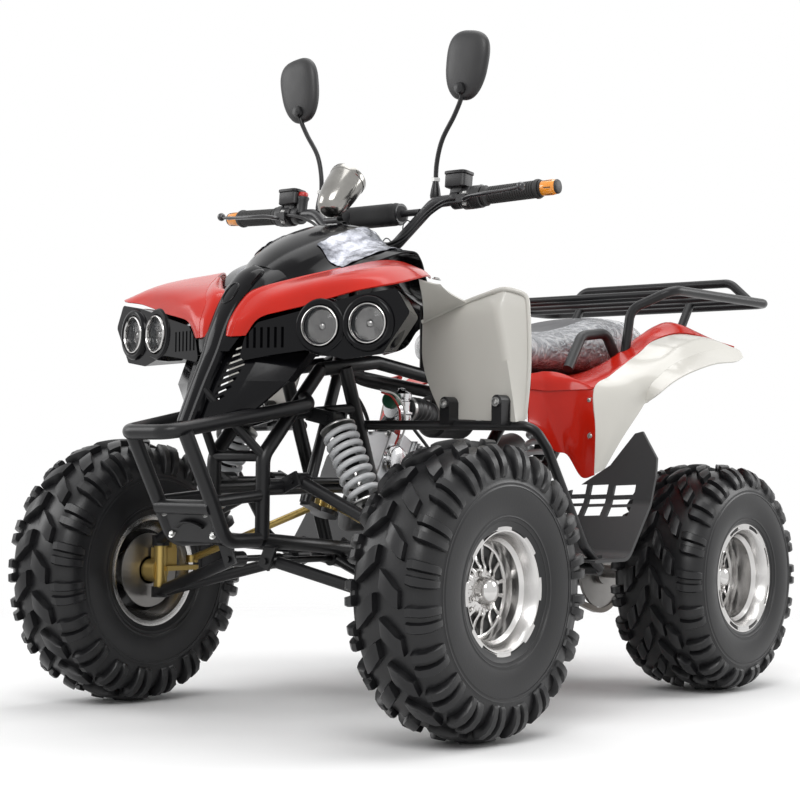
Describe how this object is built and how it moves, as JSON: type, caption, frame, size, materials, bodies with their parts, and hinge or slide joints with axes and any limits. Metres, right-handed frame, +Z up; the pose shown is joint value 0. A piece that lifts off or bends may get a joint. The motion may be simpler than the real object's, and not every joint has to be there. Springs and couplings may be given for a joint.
{
  "type": "quad bike",
  "caption": "Small sport quad bike with a tubular frame, plastic body, four lamps, padded saddle, rear rack and knobbly tyres; it steers and its wheels turn.",
  "frame": {"origin": "on the floor, under the middle of the bike's length and width", "axes": "+Z up, -Y forward along the bike, +X to the rider's left"},
  "size_m": [1.01, 1.6687, 1.29],
  "materials": {
    "frame_black": "satin black powder coat",
    "engine_alloy": "cast and partly polished",
    "exhaust_steel": "heat-proof matt black",
    "spring_grey": "light grey paint on the coil, bright rod",
    "chain_steel": "oiled",
    "cowl_black": "deep gloss",
    "body_red": "gloss",
    "body_white": "gloss, warm white",
    "saddle_vinyl": "grained black vinyl under clear film",
    "handle_black": "fine grain",
    "bar_black": "satin black",
    "grip_rubber": "ribbed",
    "lens_red": "clear red plastic",
    "lens_amber": "clear amber plastic",
    "lamp_glass": "clear lens over a bright bowl",
    "bright_chrome": "mirror bright",
    "guard_black": "moulded black",
    "axle_steel": "turned steel",
    "zinc_gold": "yellow zinc plate",
    "tyre_rubber": "matt black rubber",
    "rim_alloy": "polished"
  },
  "bodies": {
    "chassis": {"main_frame": "frame_black", "engine": "engine_alloy", "front_bumper": "frame_black", "carburettor": "engine_alloy", "exhaust": "exhaust_steel", "swing_arm": "frame_black", "rear_shock": "spring_grey", "chain": "chain_steel", "nose_cowl": "cowl_black", "front_trim": "body_red", "console": "cowl_black", "saddle": "saddle_vinyl", "rear_fender": "body_red", "rear_side_panels": "body_white", "grab_handles": "handle_black", "rear_rack": "frame_black", "tail_lamp": "lens_red", "lower_arm_left": "frame_black", "lower_arm_right": "frame_black", "upper_arm_left": "frame_black", "upper_arm_right": "frame_black", "front_shock_left": "spring_grey", "front_shock_right": "spring_grey", "front_fender_left": "body_white", "front_fender_right": "body_white", "foot_guard_left": "guard_black", "foot_guard_right": "guard_black", "headlamps_left": "lamp_glass", "headlamps_right": "lamp_glass"},
    "steering": {"handlebar": "bar_black", "grips": "grip_rubber", "controls": "handle_black", "mirrors": "handle_black", "indicators": "lens_amber", "speedometer": "bright_chrome"},
    "knuckle_left": {"knuckle_left": "zinc_gold"},
    "knuckle_right": {"knuckle_right": "zinc_gold"},
    "tie_rod_left": {"tie_rod_left": "zinc_gold"},
    "tie_rod_right": {"tie_rod_right": "zinc_gold"},
    "front_wheel_left": {"front_tyre_left": "tyre_rubber", "front_rim_left": "rim_alloy"},
    "front_wheel_right": {"front_tyre_right": "tyre_rubber", "front_rim_right": "rim_alloy"},
    "rear_axle": {"rear_axle": "axle_steel", "rear_tyre_left": "tyre_rubber", "rear_tyre_right": "tyre_rubber", "rear_rim_left": "rim_alloy", "rear_rim_right": "rim_alloy"}
  },
  "joints": [
    {"name": "steering", "type": "hinge", "parent": "chassis", "child": "steering", "pos_m": [0, -0.4175, 0.395], "axis": [0, 0.3462, 0.9382], "range_deg": [-38, 38]},
    {"name": "steer_left", "type": "hinge", "parent": "chassis", "child": "knuckle_left", "pos_m": [0.33, -0.4675, 0.2655], "axis": [0, 0, 1], "range_deg": [-38, 38]},
    {"name": "tie_rod_left", "type": "hinge", "parent": "steering", "child": "tie_rod_left", "pos_m": [0.015, -0.36309, 0.37492], "axis": [0, 0.3462, 0.9382], "range_deg": [-38, 38]},
    {"name": "front_wheel_left", "type": "hinge", "parent": "knuckle_left", "child": "front_wheel_left", "pos_m": [0.421, -0.4675, 0.2565], "axis": [1, 0, 0], "continuous": true},
    {"name": "steer_right", "type": "hinge", "parent": "chassis", "child": "knuckle_right", "pos_m": [-0.33, -0.4675, 0.2655], "axis": [0, 0, 1], "range_deg": [-38, 38]},
    {"name": "tie_rod_right", "type": "hinge", "parent": "steering", "child": "tie_rod_right", "pos_m": [-0.015, -0.36309, 0.37492], "axis": [0, 0.3462, 0.9382], "range_deg": [-38, 38]},
    {"name": "front_wheel_right", "type": "hinge", "parent": "knuckle_right", "child": "front_wheel_right", "pos_m": [-0.421, -0.4675, 0.2565], "axis": [1, 0, 0], "continuous": true},
    {"name": "rear_axle", "type": "hinge", "parent": "chassis", "child": "rear_axle", "pos_m": [0, 0.4955, 0.2375], "axis": [1, 0, 0], "continuous": true}
  ],
  "couplings": [
    {"joint": "steer_left", "follows": "steering", "ratio": 0.73},
    {"joint": "tie_rod_left", "follows": "steering", "ratio": -1},
    {"joint": "steer_right", "follows": "steering", "ratio": 0.73},
    {"joint": "tie_rod_right", "follows": "steering", "ratio": -1}
  ]
}
